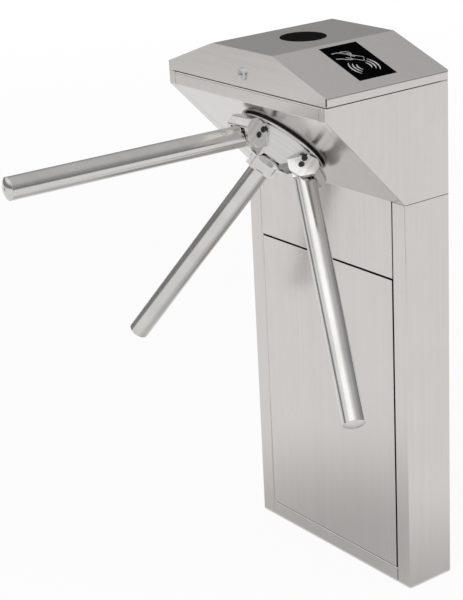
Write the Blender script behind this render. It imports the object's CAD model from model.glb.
# %% [markdown]
# # A tripod turnstile
# The folded cabinet, the hub, its three arms and all that the cabinet holds come from the CAD
# model, in metres. This script gives them their finishes, prints the card sign on the reader
# window, and sets up the studio and the camera.

# %% Load the turnstile
import bpy
import bmesh
import math
from mathutils import Matrix, Vector


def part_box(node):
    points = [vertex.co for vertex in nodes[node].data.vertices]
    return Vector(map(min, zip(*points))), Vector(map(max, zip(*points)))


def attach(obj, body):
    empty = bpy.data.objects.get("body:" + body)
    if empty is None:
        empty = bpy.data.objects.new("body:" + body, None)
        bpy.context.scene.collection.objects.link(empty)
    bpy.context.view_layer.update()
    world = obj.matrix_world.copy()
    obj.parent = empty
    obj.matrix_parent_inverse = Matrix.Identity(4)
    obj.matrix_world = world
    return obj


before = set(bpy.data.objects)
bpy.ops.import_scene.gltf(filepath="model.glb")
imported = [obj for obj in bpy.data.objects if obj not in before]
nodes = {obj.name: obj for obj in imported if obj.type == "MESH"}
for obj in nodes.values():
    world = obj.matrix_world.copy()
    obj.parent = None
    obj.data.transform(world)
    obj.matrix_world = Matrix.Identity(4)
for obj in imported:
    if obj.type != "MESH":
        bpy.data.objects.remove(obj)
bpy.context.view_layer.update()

# %% [markdown]
# ## The camera
# The cabinet is seen from the passage side, a little from above. A camera can be placed by eye,
# but here its place and its angles were worked out from the corners of the cabinet, so they are
# written as numbers. Azimuth and elevation give three axes: right, up, and back towards the
# camera. Roll, yaw and nod are the small turns that finish the fit. The camera stands 3 cm
# further back than was worked out, so that the end of the level arm stays in the picture. The
# focal length was found in pixels of a picture 600 tall, and the lens wants it in millimetres.

# %% Place the camera
FOCAL_PX = 1682.3
FRAME_TALL = 600
SENSOR_MM = 36
FURTHEST_SEEN = 100
FITTED_PLACE = Vector((-1.8375, -2.1572, 1.5441))
STEP_BACK = 0.03
AZIMUTH = math.radians(-36.315)
ELEVATION = math.radians(20.286)
ROLL = math.radians(-2.938)
YAW = 3.5 / FOCAL_PX
NOD = -1.7 / FOCAL_PX


def camera_axes(azimuth, elevation, roll, yaw, nod):
    """The camera's axes as a matrix, and the direction from the cabinet to the camera."""
    back = Vector((math.sin(azimuth) * math.cos(elevation),
                   -math.cos(azimuth) * math.cos(elevation), math.sin(elevation)))
    right = Vector((math.cos(azimuth), math.sin(azimuth), 0))
    up = back.cross(right)
    x = right * math.cos(roll) + up * math.sin(roll)
    y = up * math.cos(roll) - right * math.sin(roll)
    rolled = Matrix((x, y, back)).transposed()
    turned = rolled @ Matrix.Rotation(yaw, 3, "Y") @ Matrix.Rotation(nod, 3, "X")
    return turned.to_4x4(), back


lens = bpy.data.cameras.new("photo_camera")
lens.sensor_width = SENSOR_MM
lens.lens = FOCAL_PX * SENSOR_MM / FRAME_TALL
lens.clip_end = FURTHEST_SEEN
camera = bpy.data.objects.new("photo_camera", lens)
bpy.context.scene.collection.objects.link(camera)
axes, toward_camera = camera_axes(AZIMUTH, ELEVATION, ROLL, YAW, NOD)
camera.matrix_world = Matrix.Translation(FITTED_PLACE + toward_camera * STEP_BACK) @ axes
bpy.context.scene.camera = camera
bpy.context.scene.view_settings.view_transform = "Standard"
print("camera:", [round(v, 3) for v in camera.location], "lens", round(lens.lens, 1), "mm")

# %% [markdown]
# ## Shader maths
# A finish is a small sum: grain times a share, plus a cloud. Drawn by hand it is a web of nodes,
# so one small class wraps an output socket and lets it be added, subtracted and multiplied as a
# number is. Values use Math nodes, vectors Vector Math and colours Mix, because a Math node
# would turn a colour grey.

# %% Wrap a socket


def grey(level):
    """A colour without a tint."""
    return (level, level, level, 1.0)


def widened(value, kind):
    """A plain number made wide enough for a vector or colour socket."""
    if not isinstance(value, (int, float)):
        return value
    return grey(value) if kind == "RGBA" else (value, value, value)


class Strand:
    """One value, vector or colour on its way through a finish."""

    def __init__(self, bench, socket):
        self.bench = bench
        self.socket = socket

    def sibling(self, name):
        """Another output of the node that this strand comes from."""
        return Strand(self.bench, self.socket.node.outputs[name])

    def twined(self, operation, first, second):
        kinds = [s.socket.type for s in (first, second) if isinstance(s, Strand)]
        if "RGBA" in kinds:
            return self.bench.mix(operation, 1.0, first, second)
        if "VECTOR" in kinds:
            pair = {0: widened(first, "VECTOR"), 1: widened(second, "VECTOR")}
            return self.bench.node("ShaderNodeVectorMath", {"operation": operation}, pair)
        return self.bench.node("ShaderNodeMath", {"operation": operation}, {0: first, 1: second})

    def __add__(self, other):
        return self.twined("ADD", self, other)

    def __radd__(self, other):
        return self.twined("ADD", other, self)

    def __sub__(self, other):
        return self.twined("SUBTRACT", self, other)

    def __rsub__(self, other):
        return self.twined("SUBTRACT", other, self)

    def __mul__(self, other):
        return self.twined("MULTIPLY", self, other)

    def __rmul__(self, other):
        return self.twined("MULTIPLY", other, self)

    def dot(self, other):
        return self.bench.node("ShaderNodeVectorMath", {"operation": "DOT_PRODUCT"},
                               {0: self, 1: other}, "Value")

    def length(self):
        return self.bench.node("ShaderNodeVectorMath", {"operation": "LENGTH"},
                               {0: self}, "Value")

    def rising(self, low, high):
        """0 below low, 1 above high, and a soft step between them."""
        limits = {"Value": self, "From Min": low, "From Max": high, "To Min": 0.0, "To Max": 1.0}
        return self.bench.node("ShaderNodeMapRange", {"interpolation_type": "SMOOTHSTEP"}, limits)

    def between(self, where_0, where_1):
        """A colour that is where_0 at 0 and where_1 at 1 of this mask."""
        return self.bench.mix("MIX", self, where_0, where_1)


print("shader maths: values, vectors and colours")

# %% [markdown]
# ## The finishing bench
# Every finish starts at the same bench: an empty node tree, one method that adds any node, and
# the coordinates of the piece in metres. The CAD pieces all share one origin, so a grain
# measured there has its real size everywhere. Worn edges could be painted by hand, but a Bevel
# node rounds the normal near each edge, so the difference from the true normal shows where they
# are. Noise seldom leaves the middle of its range, so most finishes stretch that middle before
# they mix two colours. A Mix node repeats its socket names for each kind of value, so its
# colour sockets are picked by number.

# %% Build the bench
MIX_SHARE, MIX_FIRST, MIX_SECOND, MIX_RESULT = 0, 6, 7, 2
EDGE = (0.01, 0.16)
NOISE_MIDDLE = (0.3, 0.7)
SOFT_MIDDLE = (0.35, 0.65)
BEVEL_RAYS = 4


class Bench:
    """The node tree of a finish while it is being made."""

    def __init__(self, tree):
        self.tree = tree
        tree.nodes.clear()

    def node(self, kind, settings=None, sockets=None, out=0):
        """Adds any node: its settings first, then the values or links of its sockets."""
        made = self.tree.nodes.new(kind)
        for name, value in (settings or {}).items():
            if name == "stops":
                band = made.color_ramp.elements
                while len(band) < len(value):
                    band.new(1.0)
                for element, (position, colour) in zip(band, value):
                    element.position = position
                    element.color = colour
            else:
                setattr(made, name, value)
        for name, value in (sockets or {}).items():
            if isinstance(value, Strand):
                self.tree.links.new(value.socket, made.inputs[name])
            else:
                made.inputs[name].default_value = value
        return Strand(self, made.outputs[out]) if len(made.outputs) else None

    def mix(self, operation, share, first, second):
        settings = {"data_type": "RGBA", "blend_type": operation}
        return self.node("ShaderNodeMix", settings,
                         {MIX_SHARE: share, MIX_FIRST: widened(first, "RGBA"),
                          MIX_SECOND: widened(second, "RGBA")}, MIX_RESULT)

    def place(self):
        return self.node("ShaderNodeTexCoord", out="Object")

    def normal(self):
        return self.node("ShaderNodeNewGeometry", out="Normal")

    def cloud(self, where, size, detail, rough=0.55):
        """Soft noise whose patches are about size metres across."""
        return self.node("ShaderNodeTexNoise", None,
                         {"Vector": where, "Scale": 1 / size, "Detail": detail,
                          "Roughness": rough})

    def cells(self, where, size, feature="F1"):
        """Cells about size metres across, as a distance from their middles or borders."""
        return self.node("ShaderNodeTexVoronoi", {"feature": feature},
                         {"Vector": where, "Scale": 1 / size})

    def rounded_normal(self, radius):
        return self.node("ShaderNodeBevel", {"samples": BEVEL_RAYS}, {"Radius": radius})

    def edges(self, rounded):
        """1 along the sharp edges, where handling rubs a finish, and 0 on the flats."""
        return (1.0 - rounded.dot(self.normal())).rising(*EDGE)

    def bump(self, height, normal, depth, strength):
        """The normal of a relief that is depth metres deep."""
        return self.node("ShaderNodeBump", None,
                         {"Strength": strength, "Distance": depth, "Height": height,
                          "Normal": normal})

    def glow(self, colour):
        """A surface that looks as bright as its colour is written, whatever lights it."""
        return self.node("ShaderNodeEmission", None, {"Color": colour, "Strength": 1.0})

    def output(self, shader):
        self.node("ShaderNodeOutputMaterial", None, {"Surface": shader})

    def surface(self, sockets):
        self.output(self.node("ShaderNodeBsdfPrincipled", None, sockets))


def finish_named(name):
    material = bpy.data.materials.new(name)
    material.use_nodes = True
    return material, Bench(material.node_tree)


def dress(material, *names):
    for name in names:
        slots = nodes[name].data.materials
        slots.clear()
        slots.append(material)
    print(material.name, "on", ", ".join(names))


print("bench: ready to dress", len(nodes), "nodes")

# %% [markdown]
# ## Brushed stainless sheet
# The cabinet is folded from sheet that was run under an abrasive belt, so each panel has fine
# scratches that all point one way. An image of scratches could be used, but noise that is drawn
# out a hundredfold along one axis has no seams and no repeats. Four layers are used: hair
# lines, wider streaks, soft clouds, and the finger marks that show where a sheet is touched.
# The folds are rubbed smoother and a little brighter.

# %% Make the brushed finish
HAIR, STREAK, CLOUD, TOUCH = 0.0006, 0.004, 0.11, 0.03
TOUCHED = (0.52, 0.72)
DRAWN_OUT = 0.01
FOLD_RADIUS = 0.0008
SCRATCH_DEPTH = 0.00005
SHEET_SHADE = (0.602, 0.580, 0.562, 1)
SHEET_LIGHT = (0.640, 0.618, 0.600, 1)
FOLD_LIGHT = (0.70, 0.69, 0.675, 1)


def brushed_sheet(name, squeeze):
    material, bench = finish_named(name)
    where = bench.place()
    grain = where * squeeze
    hairs = bench.cloud(grain, HAIR, detail=2.0)
    streaks = bench.cloud(grain, STREAK, detail=3.0)
    clouds = bench.cloud(where, CLOUD, detail=4.0, rough=0.6)
    touches = bench.cloud(where, TOUCH, detail=5.0, rough=0.62).rising(*TOUCHED)
    rounded = bench.rounded_normal(FOLD_RADIUS)
    rubbed = bench.edges(rounded)
    tone = hairs * 0.35 + streaks * 0.40 + clouds * 0.25
    colour = tone.rising(*NOISE_MIDDLE).between(SHEET_SHADE, SHEET_LIGHT)
    colour = (rubbed * 0.5).between(colour, FOLD_LIGHT)
    roughness = 0.15 + hairs * 0.07 + streaks * 0.03 + touches * 0.05 - rubbed * 0.06
    scratches = hairs * 0.8 + streaks * 0.2
    bench.surface({"Base Color": colour, "Metallic": 1.0, "Roughness": roughness,
                   "Normal": bench.bump(scratches, rounded, SCRATCH_DEPTH, strength=0.3)})
    return material


dress(brushed_sheet("brushed_upright", (1.0, 1.0, DRAWN_OUT)),
      "column_shell", "head_shell", "service_cover")
dress(brushed_sheet("brushed_slope", (DRAWN_OUT, 1.0, DRAWN_OUT)), "front_panel")
dress(brushed_sheet("brushed_lengthwise", (1.0, DRAWN_OUT, 1.0)), "lid")

# %% [markdown]
# ## Turned steel on the hub
# The hub is turned on a lathe, so its marks are rings about its own axis. A radial image would
# need its own mapping, but rings need only one number, the distance from that axis, and noise
# of that number alone draws them: fine rings from the tool and wider bands from its passes. A
# cloud of scuffs lies over them, where hands and coats rub. The centre and the axis are those
# of the shaft in the CAD model.

# %% Make the turned finish
HUB_CENTRE = (-0.13464, 0.0, 0.80877)
HUB_AXIS = (-0.72374, 0.0, -0.69008)
TOOL_RING, TOOL_BAND, SCUFF = 0.0007, 0.006, 0.02
SCUFFED = (0.55, 0.75)
HUB_EDGE_RADIUS = 0.0012
RING_DEPTH = 0.00005
HUB_SHADE = (0.55, 0.54, 0.528, 1)
HUB_LIGHT = (0.64, 0.63, 0.615, 1)
HUB_EDGE_LIGHT = (0.80, 0.79, 0.78, 1)


def rings_at(bench, distance, size, detail):
    return bench.node("ShaderNodeTexNoise", {"noise_dimensions": "1D"},
                      {"W": distance, "Scale": 1 / size, "Detail": detail})


def turned_steel(name):
    material, bench = finish_named(name)
    where = bench.place()
    from_centre = where - HUB_CENTRE
    along = from_centre.dot(HUB_AXIS)
    on_axis = bench.node("ShaderNodeCombineXYZ", None,
                         {k: along * part for k, part in enumerate(HUB_AXIS)})
    distance = (from_centre - on_axis).length()
    rings = rings_at(bench, distance, TOOL_RING, detail=3.0)
    bands = rings_at(bench, distance, TOOL_BAND, detail=2.0)
    scuffs = bench.cloud(where, SCUFF, detail=5.0, rough=0.65).rising(*SCUFFED)
    rounded = bench.rounded_normal(HUB_EDGE_RADIUS)
    rubbed = bench.edges(rounded)
    colour = (rings * 0.5 + bands * 0.5).rising(*NOISE_MIDDLE).between(HUB_SHADE, HUB_LIGHT)
    colour = (rubbed * 0.6).between(colour, HUB_EDGE_LIGHT)
    bench.surface({"Base Color": colour, "Metallic": 1.0,
                   "Roughness": 0.11 + rings * 0.07 + bands * 0.05 + scuffs * 0.10,
                   "Normal": bench.bump(rings, rounded, RING_DEPTH, strength=0.25)})
    return material


dress(turned_steel("turned_hub"), "hub", "hub_cap")

# %% [markdown]
# ## Polished steel
# The arms are drawn tube that was mirror polished: nearly clean, with a faint haze, rub marks
# and a few nicks. The same finish at a smaller scale suits the ground parts inside: balls,
# rings, rods and pins. A mirror shows its marks in how sharply it reflects rather than in its
# colour, so most of the detail goes into the roughness.

# %% Make the polished finish
TUBE_LIGHT = (0.64, 0.628, 0.612, 1)
GROUND_LIGHT = (0.66, 0.66, 0.65, 1)
HAZE_DIMMING = 0.9
HAZE_TO_MARK, NICK_TO_MARK = 4, 0.3
POLISH_RUBBED = (0.56, 0.78)
NICK_WIDTH = (0.0, 0.02)
POLISH_EDGE_RADIUS = 0.0006
POLISH_DEPTH = 0.00004


def polished_steel(name, light, roughness, mark_size):
    material, bench = finish_named(name)
    where = bench.place()
    haze = bench.cloud(where, mark_size * HAZE_TO_MARK, detail=4.0, rough=0.6)
    rubs = bench.cloud(where, mark_size, detail=6.0, rough=0.7).rising(*POLISH_RUBBED)
    borders = bench.cells(where, mark_size * NICK_TO_MARK, "DISTANCE_TO_EDGE")
    nicks = 1.0 - borders.rising(*NICK_WIDTH)
    rounded = bench.rounded_normal(POLISH_EDGE_RADIUS)
    rubbed = bench.edges(rounded)
    dim = tuple(v * HAZE_DIMMING for v in light[:3]) + (1.0,)
    colour = haze.rising(*SOFT_MIDDLE).between(dim, light)
    dullness = roughness + haze * 0.05 + rubs * 0.09 + nicks * 0.03 - rubbed * 0.02
    bench.surface({"Base Color": colour, "Metallic": 1.0, "Roughness": dullness,
                   "Normal": bench.bump(haze + rubs * 0.2, rounded, POLISH_DEPTH, strength=0.2)})
    return material


dress(polished_steel("polished_tube", TUBE_LIGHT, roughness=0.13, mark_size=0.02),
      "arm_1", "arm_2", "arm_3", "arm_caps")
dress(polished_steel("ground_steel", GROUND_LIGHT, roughness=0.08, mark_size=0.006),
      "lid_hinge_pins", "lid_lock_body", "bearing_outer_rings", "bearing_inner_rings",
      "bearing_balls", "detent_roller", "detent_spring", "damper_rod", "plunger_entry",
      "plunger_exit")

# %% [markdown]
# ## Zinc plate on the brackets
# Inside the cabinet the brackets, cams and screws are bright zinc on rolled steel. Zinc shows a
# spangle, patches of slightly different grey, with a faint blue or yellow cast from its sealing
# bath. Voronoi cells give the patches, and a little noise bends their borders. The cast runs
# from blue over grey to yellow, three colours, so a ramp with three stops is shorter than two
# mixes. Edges are worn to plain steel, and grime gathers in spots.

# %% Make the zinc finish
SPANGLE_BENDS, SPANGLE_BEND = 60.0, 0.004
BATH, ZINC_GRIME = 0.03, 0.012
GRIMED = (0.58, 0.8)
BATH_CAST = [(0.38, (0.50, 0.53, 0.56, 1)), (0.5, (0.56, 0.565, 0.56, 1)),
             (0.62, (0.60, 0.585, 0.53, 1))]
ZINC_DARK = (0.42, 0.44, 0.46, 1)
ZINC_WORN = (0.74, 0.74, 0.73, 1)
ZINC_GRIMY = (0.22, 0.21, 0.19, 1)
ZINC_EDGE_RADIUS = 0.0005
SPANGLE_DEPTH = 0.00008


def zinc_plate(name, patch):
    material, bench = finish_named(name)
    where = bench.place()
    wander = bench.node("ShaderNodeTexNoise", None,
                        {"Vector": where, "Scale": SPANGLE_BENDS, "Detail": 3.0}, "Color")
    patches = bench.cells(where + (wander - 0.5) * SPANGLE_BEND, patch)
    bath = bench.cloud(where, BATH, detail=4.0)
    grime = bench.cloud(where, ZINC_GRIME, detail=6.0, rough=0.7).rising(*GRIMED)
    rounded = bench.rounded_normal(ZINC_EDGE_RADIUS)
    rubbed = bench.edges(rounded)
    colour = bench.node("ShaderNodeValToRGB", {"stops": BATH_CAST}, {"Fac": bath})
    colour = (patches * 0.5).between(colour, ZINC_DARK)
    colour = (rubbed * 0.6).between(colour, ZINC_WORN)
    colour = (grime * 0.35).between(colour, ZINC_GRIMY)
    roughness = 0.30 + patches * 0.14 + bath * 0.08 + grime * 0.2 - rubbed * 0.1
    relief = bench.bump(patches + bath * 0.5, rounded, SPANGLE_DEPTH, strength=0.25)
    bench.surface({"Base Color": colour, "Metallic": 1.0 - grime * 0.4, "Roughness": roughness,
                   "Normal": relief})
    return material


dress(zinc_plate("zinc_bracket", patch=0.006),
      "base_plate", "mechanism_plate", "rear_plate", "lid_strike", "lid_hinge_head_leaves",
      "lid_hinge_lid_leaves", "cover_latch", "detent_lever", "frame_pillars")
dress(zinc_plate("zinc_fitting", patch=0.0025),
      "cabinet_screws", "cover_pins", "lid_lock_plug", "mount_studs", "shaft_spacers",
      "shaft_nut", "pivot_pins", "hub_bolt", "index_cam", "lock_wheel", "main_shaft")

# %% [markdown]
# ## Black oxide on the screws
# The screws are dipped in a hot bath, which leaves a thin black skin. It could be one flat
# black, but on real screws it is mottled, and it wears to steel where a key turns, so the edges
# carry a worn mask.

# %% Make the oxide finish
OXIDE_MOTTLE = 0.003
OXIDE_WORN_OFF = (0.45, 0.9)
OXIDE_DARK = (0.018, 0.019, 0.022, 1)
OXIDE_LIGHT = (0.045, 0.044, 0.046, 1)
OXIDE_STEEL = (0.42, 0.41, 0.40, 1)
OXIDE_EDGE_RADIUS = 0.0004
OXIDE_DEPTH = 0.00005


def black_oxide(name):
    material, bench = finish_named(name)
    mottle = bench.cloud(bench.place(), OXIDE_MOTTLE, detail=5.0, rough=0.65)
    rounded = bench.rounded_normal(OXIDE_EDGE_RADIUS)
    rubbed = bench.edges(rounded)
    worn = (rubbed * (0.4 + mottle)).rising(*OXIDE_WORN_OFF)
    colour = mottle.rising(*NOISE_MIDDLE).between(OXIDE_DARK, OXIDE_LIGHT)
    bench.surface({"Base Color": worn.between(colour, OXIDE_STEEL),
                   "Metallic": 0.35 + worn * 0.6,
                   "Roughness": 0.34 + mottle * 0.2 - worn * 0.1,
                   "Normal": bench.bump(mottle, rounded, OXIDE_DEPTH, strength=0.3)})
    return material


dress(black_oxide("black_oxide"), "housing_screws", "sensor_disc", "arm_screws")

# %% [markdown]
# ## Moulded rubber
# The seal behind the hub, the buffers under the lid and the ring in the cable hole are moulded
# rubber. It is matt and full of pores, and it holds dust, which is drawn as a paler cloud over
# the black. Its low index keeps it from shining where it is seen edge on.

# %% Make the rubber finish
RUBBER_PORE, RUBBER_DUST = 0.0009, 0.014
DUSTED = (0.45, 0.75)
RUBBER_DARK = (0.014, 0.014, 0.016, 1)
RUBBER_LIGHT = (0.032, 0.031, 0.033, 1)
RUBBER_DUSTY = (0.09, 0.088, 0.082, 1)
RUBBER_INDEX = 1.2
RUBBER_EDGE_RADIUS = 0.0008
PORE_DEPTH = 0.0001


def moulded_rubber(name):
    material, bench = finish_named(name)
    where = bench.place()
    pores = bench.cloud(where, RUBBER_PORE, detail=3.0)
    dust = bench.cloud(where, RUBBER_DUST, detail=6.0, rough=0.7).rising(*DUSTED)
    rounded = bench.rounded_normal(RUBBER_EDGE_RADIUS)
    colour = pores.between(RUBBER_DARK, RUBBER_LIGHT)
    colour = (dust * 0.3).between(colour, RUBBER_DUSTY)
    bench.surface({"Base Color": colour, "Roughness": 0.62 + pores * 0.12 + dust * 0.15,
                   "IOR": RUBBER_INDEX,
                   "Normal": bench.bump(pores, rounded, PORE_DEPTH, strength=0.4)})
    return material


dress(moulded_rubber("moulded_rubber"), "cable_grommet", "lid_buffers", "hub_seal")

# %% [markdown]
# ## The black windows
# Both windows are black sheet with a fine matt coat that lets infra-red and radio through. A
# clear glass with a dark room behind it would do as well, but here nothing behind it may show,
# so the surface itself is nearly black, with wipe marks in its sheen and specks of dust. Its
# coat is made so as not to mirror, so its index is close to that of air.

# %% Make the window finish
WIPE_MARK, SPECK_SPACING = 0.006, 0.0016
WIPED_ALONG = (1.0, 0.25, 1.0)
WIPED_STRONGLY = (0.3, 0.8)
SPECK_SIZE = (0.0, 0.16)
WINDOW_DARK = (0.0010, 0.0010, 0.0012, 1)
WINDOW_LIGHT = (0.0030, 0.0030, 0.0034, 1)
SPECK_GREY = grey(0.02)
COAT_INDEX, COAT_GLOSS = 1.03, 0.2
WINDOW_EDGE_RADIUS = 0.0005
WIPE_DEPTH = 0.00002


def black_window(name):
    material, bench = finish_named(name)
    where = bench.place()
    wiped = bench.cloud(where * WIPED_ALONG, WIPE_MARK, detail=5.0, rough=0.65)
    specks = 1.0 - bench.cells(where, SPECK_SPACING).rising(*SPECK_SIZE)
    rounded = bench.rounded_normal(WINDOW_EDGE_RADIUS)
    colour = wiped.rising(*WIPED_STRONGLY).between(WINDOW_DARK, WINDOW_LIGHT)
    colour = (specks * 0.2).between(colour, SPECK_GREY)
    bench.surface({"Base Color": colour, "Roughness": 0.16 + wiped * 0.12,
                   "IOR": COAT_INDEX, "Specular IOR Level": COAT_GLOSS,
                   "Normal": bench.bump(wiped, rounded, WIPE_DEPTH, strength=0.2)})
    return material


dress(black_window("black_window"), "indicator_window", "reader_window")

# %% [markdown]
# ## Moulded cases
# The reader, the light gates and the damper have moulded cases. Their mould was spark-eroded,
# which gives a fine even grain with no direction, and the plastic shows soft flow patches. Fine
# noise for the one and wide noise for the other is enough, and handling leaves the edges a
# little paler.

# %% Make the case finish
CASE_GRAIN, CASE_FLOW = 0.0007, 0.03
CASE_DARK = (0.022, 0.023, 0.026, 1)
CASE_LIGHT = (0.042, 0.043, 0.047, 1)
CASE_HANDLED = (0.30, 0.30, 0.31, 1)
CASE_EDGE_RADIUS = 0.0006
CASE_DEPTH = 0.00006


def moulded_case(name):
    material, bench = finish_named(name)
    where = bench.place()
    skin = bench.cloud(where, CASE_GRAIN, detail=2.0)
    flow = bench.cloud(where, CASE_FLOW, detail=3.0)
    rounded = bench.rounded_normal(CASE_EDGE_RADIUS)
    rubbed = bench.edges(rounded)
    colour = (skin * 0.6 + flow * 0.4).rising(*NOISE_MIDDLE).between(CASE_DARK, CASE_LIGHT)
    colour = (rubbed * 0.25).between(colour, CASE_HANDLED)
    bench.surface({"Base Color": colour, "Roughness": 0.48 + skin * 0.16 - rubbed * 0.1,
                   "Normal": bench.bump(skin, rounded, CASE_DEPTH, strength=0.4)})
    return material


dress(moulded_case("moulded_case"), "reader_module", "position_sensors", "damper_body")

# %% [markdown]
# ## Circuit boards
# A circuit board is green lacquer over copper, so its tracks show as slightly lighter raised
# lines, and its pads as bare tin. Tracks run square, which a brick texture of long thin bricks
# copies well. The pads are the middles of Voronoi cells.

# %% Make the board finish
TRACK, PAD_SPACING, LACQUER_CLOUD = 0.006, 0.005, 0.02
ACROSS_THE_BOARD = (0.0, math.radians(90), math.radians(90))
TRACK_LENGTH, TRACK_PITCH, TRACK_WIDTH = 2.3, 0.5, 0.05
PAD_RIM = (0.14, 0.18)
LACQUER_DARK = (0.010, 0.095, 0.045, 1)
LACQUER_LIGHT = (0.016, 0.13, 0.062, 1)
TRACK_GREEN = (0.04, 0.22, 0.11, 1)
PAD_TIN = (0.62, 0.60, 0.55, 1)
BOARD_EDGE_RADIUS = 0.0003
TRACK_DEPTH = 0.00006


def circuit_board(name):
    material, bench = finish_named(name)
    where = bench.place()
    turned = bench.node("ShaderNodeMapping", {"vector_type": "POINT"},
                        {"Vector": where, "Rotation": ACROSS_THE_BOARD})
    tracks = bench.node("ShaderNodeTexBrick",
                        {"offset": 0.37, "squash": 0.6, "squash_frequency": 3},
                        {"Vector": turned, "Scale": 1 / TRACK, "Mortar Size": TRACK_WIDTH,
                         "Mortar Smooth": 0.2, "Brick Width": TRACK_LENGTH,
                         "Row Height": TRACK_PITCH}, "Fac")
    pads = 1.0 - bench.cells(where, PAD_SPACING).rising(*PAD_RIM)
    tint = bench.cloud(where, LACQUER_CLOUD, detail=3.0)
    rounded = bench.rounded_normal(BOARD_EDGE_RADIUS)
    colour = tint.rising(*SOFT_MIDDLE).between(LACQUER_DARK, LACQUER_LIGHT)
    colour = tracks.between(colour, TRACK_GREEN)
    colour = pads.between(colour, PAD_TIN)
    bench.surface({"Base Color": colour, "Metallic": pads * 0.9,
                   "Roughness": 0.38 - pads * 0.1 + tint * 0.05,
                   "Normal": bench.bump(tracks + pads, rounded, TRACK_DEPTH, strength=0.5)})
    return material


dress(circuit_board("circuit_board"), "indicator_board", "control_board")

# %% [markdown]
# ## Cast metal
# The bearing housing is cast, and the case of the power supply is cast and blasted. Cast metal
# has a coarser orange-peel skin than rolled metal and wide stains from its release agent. Noise
# at two sizes draws both.

# %% Make the cast finish
CAST_PEEL, CAST_STAIN = 0.0016, 0.035
CAST_DARK = (0.46, 0.465, 0.47, 1)
CAST_LIGHT = (0.60, 0.60, 0.595, 1)
CAST_RUBBED = (0.74, 0.74, 0.735, 1)
CAST_EDGE_RADIUS = 0.0009
CAST_DEPTH = 0.00012


def cast_metal(name):
    material, bench = finish_named(name)
    where = bench.place()
    peel = bench.cloud(where, CAST_PEEL, detail=4.0, rough=0.6)
    stain = bench.cloud(where, CAST_STAIN, detail=4.0)
    rounded = bench.rounded_normal(CAST_EDGE_RADIUS)
    rubbed = bench.edges(rounded)
    colour = (peel * 0.4 + stain * 0.6).rising(*NOISE_MIDDLE).between(CAST_DARK, CAST_LIGHT)
    colour = (rubbed * 0.5).between(colour, CAST_RUBBED)
    bench.surface({"Base Color": colour, "Metallic": 1.0,
                   "Roughness": 0.36 + peel * 0.18 - rubbed * 0.12,
                   "Normal": bench.bump(peel, rounded, CAST_DEPTH, strength=0.5)})
    return material


dress(cast_metal("cast_metal"), "bearing_housing", "power_supply")

# %% [markdown]
# ## Brass
# The pawls and the cages of the bearings are brass, which runs on steel without grease. New
# cuts are bright yellow and older faces go brown, so a tarnish cloud mixes the two, and the
# rubbed edges stay bright.

# %% Make the brass finish
TOOL_MARK, TARNISH = 0.0006, 0.012
TARNISHED = (0.35, 0.7)
CUT_ALONG = (0.1, 1.0, 0.1)
BRASS_BRIGHT = (0.75, 0.56, 0.25, 1)
BRASS_BROWN = (0.48, 0.33, 0.14, 1)
BRASS_RUBBED = (0.86, 0.70, 0.38, 1)
BRASS_EDGE_RADIUS = 0.0004
BRASS_DEPTH = 0.00004


def turned_brass(name):
    material, bench = finish_named(name)
    where = bench.place()
    tool_marks = bench.cloud(where * CUT_ALONG, TOOL_MARK, detail=2.0)
    tarnish = bench.cloud(where, TARNISH, detail=5.0, rough=0.65)
    rounded = bench.rounded_normal(BRASS_EDGE_RADIUS)
    rubbed = bench.edges(rounded)
    colour = tarnish.rising(*TARNISHED).between(BRASS_BRIGHT, BRASS_BROWN)
    colour = (rubbed * 0.5).between(colour, BRASS_RUBBED)
    bench.surface({"Base Color": colour, "Metallic": 1.0,
                   "Roughness": 0.2 + tool_marks * 0.1 + tarnish * 0.12,
                   "Normal": bench.bump(tool_marks, rounded, BRASS_DEPTH, strength=0.3)})
    return material


dress(turned_brass("turned_brass"), "bearing_cages", "pawl_entry", "pawl_exit")

# %% [markdown]
# ## Red oxide paint
# The solenoids have painted yokes, so that a fitter finds them at once. Sprayed paint has a
# light peel and fades in patches, and it chips along its edges down to the steel.

# %% Make the paint finish
PAINT_PEEL, PAINT_FADE, PAINT_CHIP = 0.0013, 0.02, 0.0022
CHIPPED_OFF = (0.55, 0.7)
PAINT_DARK = (0.24, 0.035, 0.022, 1)
PAINT_FADED = (0.32, 0.055, 0.035, 1)
CHIP_GREY = grey(0.5)
PAINT_EDGE_RADIUS = 0.0007
PAINT_DEPTH = 0.00008


def oxide_paint(name):
    material, bench = finish_named(name)
    where = bench.place()
    peel = bench.cloud(where, PAINT_PEEL, detail=3.0)
    fade = bench.cloud(where, PAINT_FADE, detail=4.0)
    flakes = bench.cloud(where, PAINT_CHIP, detail=4.0)
    rounded = bench.rounded_normal(PAINT_EDGE_RADIUS)
    rubbed = bench.edges(rounded)
    chipped = (rubbed * (0.3 + flakes)).rising(*CHIPPED_OFF)
    colour = fade.rising(*SOFT_MIDDLE).between(PAINT_DARK, PAINT_FADED)
    bench.surface({"Base Color": chipped.between(colour, CHIP_GREY), "Metallic": chipped * 0.9,
                   "Roughness": 0.32 + peel * 0.12,
                   "Normal": bench.bump(peel - chipped, rounded, PAINT_DEPTH, strength=0.4)})
    return material


dress(oxide_paint("oxide_paint"), "solenoid_bodies")

# %% [markdown]
# ## The card sign
# The reader window carries a plain sign: a hand that holds a card over radio waves. It could be
# a texture, but a thin printed mesh keeps sharp edges at any zoom. Each stroke is a ribbon with
# its own width at every point. The sign is drawn flat, x across and y up the slope, and then
# laid on the glass.

# %% Draw strokes as ribbons
INK = 0.00012


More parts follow.
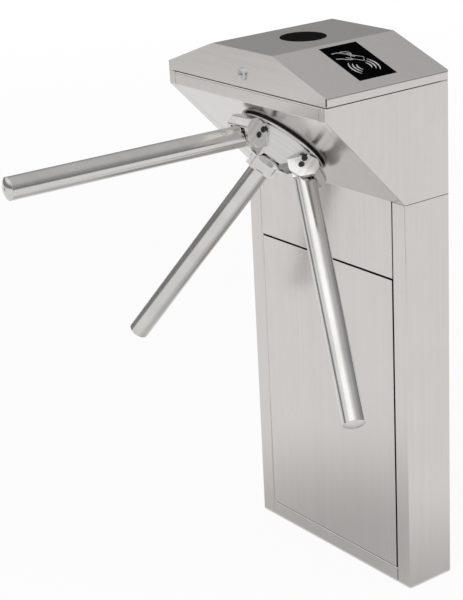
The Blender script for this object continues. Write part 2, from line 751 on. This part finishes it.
def ribbon(mesh, points, widths, closed=False):
    """A strip of ink along the points, as wide at each of them as widths says."""
    count = len(points)
    rows = []
    for k, (point, width) in enumerate(zip(points, widths)):
        ahead = points[(k + 1) % count] if closed or k < count - 1 else point
        behind = points[k - 1] if closed or k else point
        along = (Vector(ahead) - Vector(behind)).normalized()
        side = Vector((-along.y, along.x)) * width / 2
        sides = (Vector(point) + side, Vector(point) - side)
        rows.append([[mesh.verts.new((p.x, p.y, z)) for z in (0.0, INK)] for p in sides])
    pairs = list(zip(rows, rows[1:])) + ([(rows[-1], rows[0])] if closed else [])
    for (left, right), (next_left, next_right) in pairs:
        mesh.faces.new((left[1], right[1], next_right[1], next_left[1]))
        mesh.faces.new((left[0], next_left[0], next_right[0], right[0]))
        mesh.faces.new((left[0], left[1], next_left[1], next_left[0]))
        mesh.faces.new((right[0], next_right[0], next_right[1], right[1]))
    if not closed:
        for (left, right), turn in ((rows[0], 1), (rows[-1], -1)):
            mesh.faces.new([left[0], right[0], right[1], left[1]][::turn])


def smoothed(points, rounds=3):
    """Cuts the corners of a hand-drawn line, so a few points give a soft curve."""
    for _ in range(rounds):
        cut = [points[0]]
        for (ax, ay), (bx, by) in zip(points, points[1:]):
            cut += [(ax * 0.75 + bx * 0.25, ay * 0.75 + by * 0.25),
                    (ax * 0.25 + bx * 0.75, ay * 0.25 + by * 0.75)]
        points = cut + [points[-1]]
    return points


print("ribbons:", round(INK * 1000, 3), "mm thick")

# %% [markdown]
# The sign has three waves on each side of a middle point, a card that leans to the right, and a
# hand above it with a thumb, fingers and knuckles. The waves swell in their middle as a brush
# stroke does. Sizes are written in millimetres.

# %% Draw the waves, the card and the hand
MM = 0.001
WAVE_CENTRE = (-1 * MM, -18 * MM)
WAVE_RADII = (12.5, 19.5, 26.5)
WAVE_POINTS = 15
HALF_WAVE = 42
WAVE_THIN, WAVE_SWELL = 1.0, 2.0
CARD_LINE = 1.3
CARD_CORNERS = [(-7.0, 9.5), (11.0, -3.6), (18.6, 7.0), (0.8, 20.0)]
HAND_LINES = {
    "thumb": (1.5, [(-30, 32), (-22, 33), (-14, 31), (-5, 24), (1, 16), (4, 13), (6, 15),
                    (3, 20), (-3, 27)]),
    "fingers": (1.5, [(-33, 16), (-26, 15), (-18, 11), (-11, 7), (-6, 6), (-4, 8), (-7, 11),
                      (-13, 15)]),
    "knuckles": (1.4, [(-14, 31), (-9, 33), (0, 31), (5, 26), (4, 22)]),
}


def scaled(points):
    return [(x * MM, y * MM) for x, y in points]


def wave_points(radius, middle):
    """An arc of HALF_WAVE degrees to each side of its middle."""
    start, stop = middle - HALF_WAVE, middle + HALF_WAVE
    turns = [math.radians(start + (stop - start) * k / (WAVE_POINTS - 1))
             for k in range(WAVE_POINTS)]
    return [(WAVE_CENTRE[0] + radius * math.cos(a), WAVE_CENTRE[1] + radius * math.sin(a))
            for a in turns]


sign_mesh = bmesh.new()
swelling = [(WAVE_THIN + WAVE_SWELL * math.sin(math.pi * k / (WAVE_POINTS - 1))) * MM
            for k in range(WAVE_POINTS)]
for wave_radius in WAVE_RADII:
    for wave_middle in (0, 180):
        ribbon(sign_mesh, wave_points(wave_radius * MM, wave_middle), swelling)
ribbon(sign_mesh, scaled(CARD_CORNERS), [CARD_LINE * MM] * len(CARD_CORNERS), closed=True)
for line_name, (line_width, line_points) in HAND_LINES.items():
    line = smoothed(scaled(line_points))
    ribbon(sign_mesh, line, [line_width * MM] * len(line))
    print(line_name, "drawn with", len(line), "points")
print("sign:", len(sign_mesh.faces), "faces")

# %% [markdown]
# The ink is a light grey screen print. It lets the black through in pinholes and is a little
# thinner along one side, so it has its own finish with a fine speckle. The lid's near slope
# rises by 49 mm over 133 mm, and the sign lies a hair above its glass.

# %% Print the sign on the reader window
LID_RISE, LID_RUN = 49, 133
LID_SLOPE = math.atan2(LID_RISE, LID_RUN)
SLOPE_FOOT = Vector((-0.082, -0.213, 0.931))
SIGN_UP_SLOPE = 0.0795
SIGN_GAP = 0.0003
INK_SPECKLE, INK_THINNING = 0.0007, 0.018
INK_COVER = (0.32, 0.6)
INK_DARK, INK_LIGHT = grey(0.36), grey(0.60)
INK_DEPTH = 0.00002


def screen_ink(name):
    material, bench = finish_named(name)
    where = bench.place()
    speckle = bench.cloud(where, INK_SPECKLE, detail=4.0, rough=0.7)
    thin = bench.cloud(where, INK_THINNING, detail=2.0)
    colour = (speckle * 0.6 + thin * 0.4).rising(*INK_COVER).between(INK_DARK, INK_LIGHT)
    relief = bench.bump(speckle, bench.normal(), INK_DEPTH, strength=0.3)
    bench.surface({"Base Color": colour, "Roughness": 0.45 + speckle * 0.2,
                   "Normal": relief})
    return material


sign_data = bpy.data.meshes.new("card_sign")
bmesh.ops.recalc_face_normals(sign_mesh, faces=sign_mesh.faces)
sign_mesh.to_mesh(sign_data)
sign_mesh.free()
card_sign = bpy.data.objects.new("card_sign", sign_data)
bpy.context.scene.collection.objects.link(card_sign)
up_slope = Matrix.Rotation(LID_SLOPE, 4, "X")
on_glass = Matrix.Translation((0, SIGN_UP_SLOPE, SIGN_GAP))
card_sign.matrix_world = Matrix.Translation(SLOPE_FOOT) @ up_slope @ on_glass
sign_data.materials.append(screen_ink("screen_ink"))
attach(card_sign, "lid")
window_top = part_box("reader_window")[1].z
print("sign sits on a window that ends at", round(window_top, 4), "m")

# %% [markdown]
# ## The floor
# The object stands on a pale floor that runs out of the picture on every side. A shadow catcher
# would leave a cut-out edge, so the floor is real: partly matt, to keep the shadow, and partly
# white to camera, mirror and glass rays. Far off it is all white, so that it meets the white
# sky without a line.

# %% Lay the floor
FLOOR_HALF = 25
FLOOR_MATT = 0.9
WHITE_SHARE = 0.92
TURNS_WHITE = (1.2, 6.0)


def seen_directly(bench):
    """1 for what the camera sees, straight or in a mirror or through glass."""
    camera_ray = bench.node("ShaderNodeLightPath", out="Is Camera Ray")
    mirror_ray = camera_ray.sibling("Is Glossy Ray")
    glass_ray = camera_ray.sibling("Is Transmission Ray")
    return (camera_ray + mirror_ray + glass_ray).rising(0.0, 1.0)


def square_sheet(name, half, material):
    """A flat square, half metres to each side of its middle, that belongs to the studio."""
    mesh = bmesh.new()
    corners = [(-half, -half, 0), (half, -half, 0), (half, half, 0), (-half, half, 0)]
    mesh.faces.new([mesh.verts.new(c) for c in corners])
    bmesh.ops.subdivide_edges(mesh, edges=mesh.edges, cuts=3, use_grid_fill=True)
    data = bpy.data.meshes.new(name)
    mesh.to_mesh(data)
    mesh.free()
    data.materials.append(material)
    made = bpy.data.objects.new(name, data)
    bpy.context.scene.collection.objects.link(made)
    return made


floor_finish, bench = finish_named("studio_floor")
matt = bench.node("ShaderNodeBsdfDiffuse", None, {"Color": grey(FLOOR_MATT)})
white = bench.glow(grey(1.0))
far_off = bench.place().length().rising(*TURNS_WHITE)
whiteness = seen_directly(bench) * (WHITE_SHARE + far_off * (1.0 - WHITE_SHARE))
bench.output(bench.node("ShaderNodeMixShader", None, {0: whiteness, 1: matt, 2: white}))
square_sheet("studio_floor", FLOOR_HALF, floor_finish)
print("floor:", 2 * FLOOR_HALF, "m square")

# %% [markdown]
# ## The sky
# A white sky lights the object evenly from every side. As light it is kept at about half, so
# that the lamps still model the folds, while camera, mirror and glass rays see it fully white.

# %% Light the sky
SKY_AS_LIGHT = 0.55
sky = bpy.data.worlds.new("studio_sky")
bpy.context.scene.world = sky
sky.use_nodes = True
bench = Bench(sky.node_tree)
strength = SKY_AS_LIGHT + seen_directly(bench) * (1.0 - SKY_AS_LIGHT)
sky_light = bench.node("ShaderNodeBackground", None, {"Color": grey(1.0), "Strength": strength})
bench.node("ShaderNodeOutputWorld", None, {"Surface": sky_light})
print("sky: white to the eye,", SKY_AS_LIGHT, "as light")

# %% [markdown]
# ## The lamps
# One large soft lamp stands high on the left, and a weaker one fills the right. Large lamps
# give the soft shadow of a studio. Their own mirror images would burn out on polished steel, so
# mirror rays don't see them, and the tent further down stands in for them there.

# %% Hang the lamps
LAMP_TARGET = Vector((0, 0, 0.5))


def soft_lamp(name, place, size, watts):
    data = bpy.data.lights.new(name, "AREA")
    data.shape = "SQUARE"
    data.size = size
    data.energy = watts
    lamp = bpy.data.objects.new(name, data)
    lamp.visible_glossy = False
    bpy.context.scene.collection.objects.link(lamp)
    aim = (LAMP_TARGET - Vector(place)).to_track_quat("-Z", "Y").to_matrix().to_4x4()
    lamp.matrix_world = Matrix.Translation(place) @ aim
    print(name, "at", place, watts, "W")


soft_lamp("key_lamp", (-2.6, -1.2, 2.9), size=2.2, watts=45)
soft_lamp("fill_lamp", (2.2, -2.4, 1.6), size=2.0, watts=12)

# %% [markdown]
# ## A tent for the steel to reflect
# Polished metal has hardly any colour of its own: what it shows is the room. A photographer
# hangs cloths and cards out of the picture to shape it. Single cards could be placed one by
# one, but a tent round the whole set is steadier from every side. Only mirror rays see it, so
# it casts no shadow and lights nothing.

# %% Pitch the tent
TENT_REACH = 9.0
TENT_ROUND, TENT_RISE = 48, 12


def tent_ring(mesh, tilt):
    """The points of the dome at one height: tilt is 0 at the floor, a right angle on top."""
    turns = [2 * math.pi * k / TENT_ROUND for k in range(TENT_ROUND)]
    return [mesh.verts.new((TENT_REACH * math.cos(tilt) * math.cos(turn),
                            TENT_REACH * math.cos(tilt) * math.sin(turn),
                            TENT_REACH * math.sin(tilt))) for turn in turns]


tent_mesh = bmesh.new()
rings = [tent_ring(tent_mesh, math.pi / 2 * step / TENT_RISE) for step in range(TENT_RISE)]
for low, high in zip(rings, rings[1:]):
    for k in range(TENT_ROUND):
        beside = (k + 1) % TENT_ROUND
        tent_mesh.faces.new((low[k], low[beside], high[beside], high[k]))
tent_mesh.faces.new(rings[-1])
tent_data = bpy.data.meshes.new("tent")
tent_mesh.to_mesh(tent_data)
tent_mesh.free()
print("tent:", len(tent_data.polygons), "faces")

# %% [markdown]
# The tent is white on the left, with a brighter skylight high up, grey on the right, and dark
# along the foot of its walls, which draws the streaks along the arms. Each point is coloured by
# the direction in which it is seen from the middle of the set, so the colours don't depend on
# how the dome is divided.

# %% Colour the tent
TENT_EYE = (0.0, 0.0, 0.7)
LEFT_WHITE = grey(1.05)
RIGHT_LOW, RIGHT_HIGH = grey(0.37), grey(0.66)
LEFT_TO_RIGHT = (-0.12, 0.22)
RIGHT_WALL_RISE = (0.30, 0.85)
SKYLIGHT_TOWARD = (-0.55, -0.15, 0.82)
SKYLIGHT_RIM = (0.86, 0.97)
SKYLIGHT_WHITE = grey(1.55)
FOOT_GREY = grey(0.27)
FOOT_RISE = (0.10, 0.28)


def seen_in_mirrors_only(made):
    made.visible_camera = False
    made.visible_diffuse = False
    made.visible_shadow = False
    made.visible_transmission = False


tent_finish, bench = finish_named("tent_cloth")
looking = bench.node("ShaderNodeVectorMath", {"operation": "NORMALIZE"},
                     {0: bench.place() - TENT_EYE})
to_right = bench.node("ShaderNodeSeparateXYZ", None, {0: looking}, "X")
above = to_right.sibling("Z")
right_wall = above.rising(*RIGHT_WALL_RISE).between(RIGHT_LOW, RIGHT_HIGH)
cloth = to_right.rising(*LEFT_TO_RIGHT).between(LEFT_WHITE, right_wall)
skylight = looking.dot(SKYLIGHT_TOWARD).rising(*SKYLIGHT_RIM)
cloth = skylight.between(cloth, SKYLIGHT_WHITE)
foot = 1.0 - above.rising(*FOOT_RISE)
cloth = foot.between(cloth, FOOT_GREY)
bench.output(bench.glow(cloth))
tent_data.materials.append(tent_finish)
tent = bpy.data.objects.new("tent", tent_data)
bpy.context.scene.collection.objects.link(tent)
seen_in_mirrors_only(tent)
print(tent_finish.name, "on the tent")

# %% [markdown]
# ## Grey mats
# The upright faces mirror the floor: the column its first metres, and the lid's gable a spot
# four to five metres off. A patterned floor would do it, but two round grey mats darken it just
# there, again for mirror rays alone. The near one stands for the floor that the cabinet keeps
# the light off, and the far one gives the gable its darker left half. Both fade out to nothing.

# %% Lay the mats
MAT_GREY = grey(0.60)
MAT_LIFT = 0.003


def round_mat(name, x, y, full, reach):
    """A mat that is solid up to full metres from its middle and gone at reach metres."""
    finish, bench = finish_named(name)
    spread = bench.place().length().rising(full, reach)
    clear = bench.node("ShaderNodeBsdfTransparent", None, {"Color": grey(1.0)})
    bench.output(bench.node("ShaderNodeMixShader", None,
                            {0: spread, 1: bench.glow(MAT_GREY), 2: clear}))
    mat = square_sheet(name, reach, finish)
    mat.location = (x, y, MAT_LIFT)
    seen_in_mirrors_only(mat)
    print(name, 2 * reach, "m across")


round_mat("foot_mat", -0.05, 0.0, full=0.05, reach=0.62)
round_mat("far_mat", -3.2, 3.9, full=0.2, reach=1.5)
